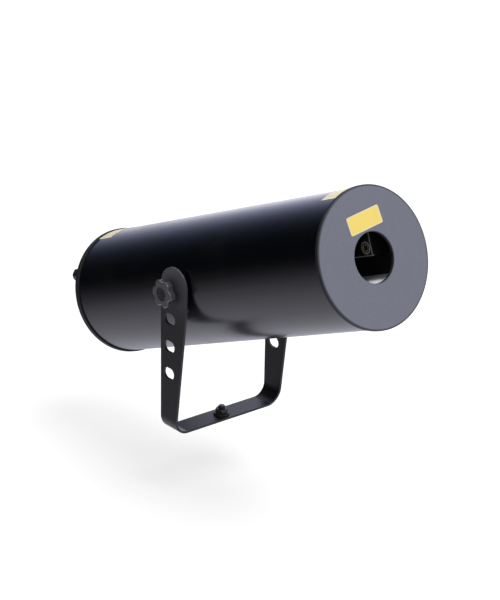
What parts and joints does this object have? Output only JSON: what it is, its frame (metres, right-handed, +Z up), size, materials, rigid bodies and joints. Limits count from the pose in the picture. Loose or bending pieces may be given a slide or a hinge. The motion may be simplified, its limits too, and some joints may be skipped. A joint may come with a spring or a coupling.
{
  "type": "laser show projector",
  "caption": "Tubular laser show projector with a round beam opening in its front plate, tilting in a U-shaped strip yoke between two star knobs and hung by a bolt.",
  "frame": {"origin": "on the hanging bolt's axis, halfway up the free end that stands out of its nut", "axes": "+X to the projector's own left-to-right as seen from the front, +Y from the beam opening to the rear cover, +Z up along the hanging bolt"},
  "size_m": [0.1376, 0.3583, 0.2531],
  "materials": {
    "tube_black": "satin black paint",
    "plate_grey": "satin blue-grey paint",
    "yoke_black": "satin black powder coat",
    "zinc_steel": "bright zinc plate",
    "black_steel": "blackened steel",
    "spacer_nylon": "black nylon",
    "knob_black": "gloss black moulding",
    "label_yellow": "yellow vinyl, blank",
    "bench_metal": "bare sheet",
    "laser_black": "black anodised",
    "barrel_brass": "turned brass",
    "lens_glass": "polished",
    "mirror_glass": "front-silvered",
    "motor_steel": "drawn steel",
    "board_green": "solder mask",
    "part_black": "black moulding",
    "part_gloss": "gloss black moulding",
    "capacitor_sleeve": "blue sleeve",
    "header_white": "cream moulding",
    "core_iron": "varnished laminations",
    "coil_tape": "amber winding tape",
    "guard_chrome": "bright plate",
    "fuse_glass": "glass with metal ends",
    "pot_metal": "stamped can",
    "lead_cover": "insulated lead"
  },
  "bodies": {
    "yoke": {"yoke_bracket": "yoke_black", "hanging_bolt": "black_steel", "hanging_washer": "black_steel", "hanging_nut": "black_steel"},
    "housing": {"tube_shell": "tube_black", "rear_cover": "tube_black", "front_plate": "plate_grey", "tie_rods": "zinc_steel", "pivot_nuts": "zinc_steel", "bench_screws": "zinc_steel", "bracket_screws": "zinc_steel", "fan_screws": "zinc_steel", "inlet_screws": "zinc_steel", "level_nut": "zinc_steel", "board_standoffs": "zinc_steel", "board_screws": "zinc_steel", "tie_rod_nuts": "black_steel", "pivot_spacers": "spacer_nylon", "front_label": "label_yellow", "top_front_label": "label_yellow", "top_rear_label": "label_yellow", "bench_plate": "bench_metal", "bench_supports": "bench_metal", "laser_block": "laser_black", "laser_barrel": "barrel_brass", "laser_lens": "lens_glass", "scanner_motor": "motor_steel", "scanner_bracket": "motor_steel", "driver_board": "board_green", "driver_chip": "part_black", "fan_frame": "part_black", "mains_inlet": "part_black", "fuse_holder": "part_black", "switch_frame": "part_gloss", "driver_capacitors": "capacitor_sleeve", "board_connectors": "header_white", "transformer_core": "core_iron", "transformer_coil": "coil_tape", "fan_guard": "guard_chrome", "inlet_pins": "guard_chrome", "fuse_link": "fuse_glass", "level_pot": "pot_metal", "microphone": "pot_metal", "wiring": "lead_cover"},
    "left_clamp": {"left_knob_washer": "black_steel"},
    "left_screw": {"left_knob": "knob_black", "left_knob_stud": "black_steel"},
    "right_clamp": {"right_knob_washer": "black_steel"},
    "right_screw": {"right_knob": "knob_black", "right_knob_stud": "black_steel"},
    "scanner": {"scanner_hub": "barrel_brass", "scanner_mirror": "mirror_glass"},
    "fan": {"fan_rotor": "part_black"},
    "rocker": {"switch_rocker": "part_gloss"},
    "fuse_cover": {"fuse_cap": "part_black"},
    "level_dial": {"level_knob": "part_black"}
  },
  "joints": [
    {"name": "yoke_tilt", "type": "hinge", "parent": "yoke", "child": "housing", "pos_m": [0, 0, 0.1207], "axis": [1, 0, 0], "range_deg": [-36, 80]},
    {"name": "left_clamp_slide", "type": "slide", "parent": "housing", "child": "left_clamp", "axis": [-1, 0, 0], "range_m": [0, 0.00625]},
    {"name": "left_knob_turn", "type": "hinge", "parent": "left_clamp", "child": "left_screw", "pos_m": [0, 0, 0.1207], "axis": [-1, 0, 0], "range_deg": [0, 1800]},
    {"name": "right_clamp_slide", "type": "slide", "parent": "housing", "child": "right_clamp", "axis": [1, 0, 0], "range_m": [0, 0.00625]},
    {"name": "right_knob_turn", "type": "hinge", "parent": "right_clamp", "child": "right_screw", "pos_m": [0, 0, 0.1207], "axis": [1, 0, 0], "range_deg": [0, 1800]},
    {"name": "scanner_spin", "type": "hinge", "parent": "housing", "child": "scanner", "pos_m": [-0.006, -0.14436, 0.18571], "axis": [0.7071, -0.6556, 0.2649], "continuous": true},
    {"name": "fan_spin", "type": "hinge", "parent": "housing", "child": "fan", "pos_m": [0, 0.14294, 0.09676], "axis": [0, 0.9272, -0.3746], "continuous": true},
    {"name": "power_rocker", "type": "hinge", "parent": "housing", "child": "rocker", "pos_m": [0.03135, 0.13585, 0.06614], "axis": [1, 0, 0], "range_deg": [-22, 0]},
    {"name": "fuse_cap_turn", "type": "hinge", "parent": "housing", "child": "fuse_cover", "pos_m": [-0.03435, 0.13763, 0.06574], "axis": [0, 0.9272, -0.3746], "range_deg": [0, 90]},
    {"name": "level_turn", "type": "hinge", "parent": "housing", "child": "level_dial", "pos_m": [0.04295, 0.1376, 0.06565], "axis": [0, 0.9272, -0.3746], "range_deg": [-150, 150]}
  ],
  "couplings": [
    {"joint": "left_knob_turn", "follows": "left_clamp_slide", "rad_per_m": 5026.5},
    {"joint": "right_knob_turn", "follows": "right_clamp_slide", "rad_per_m": 5026.5}
  ]
}
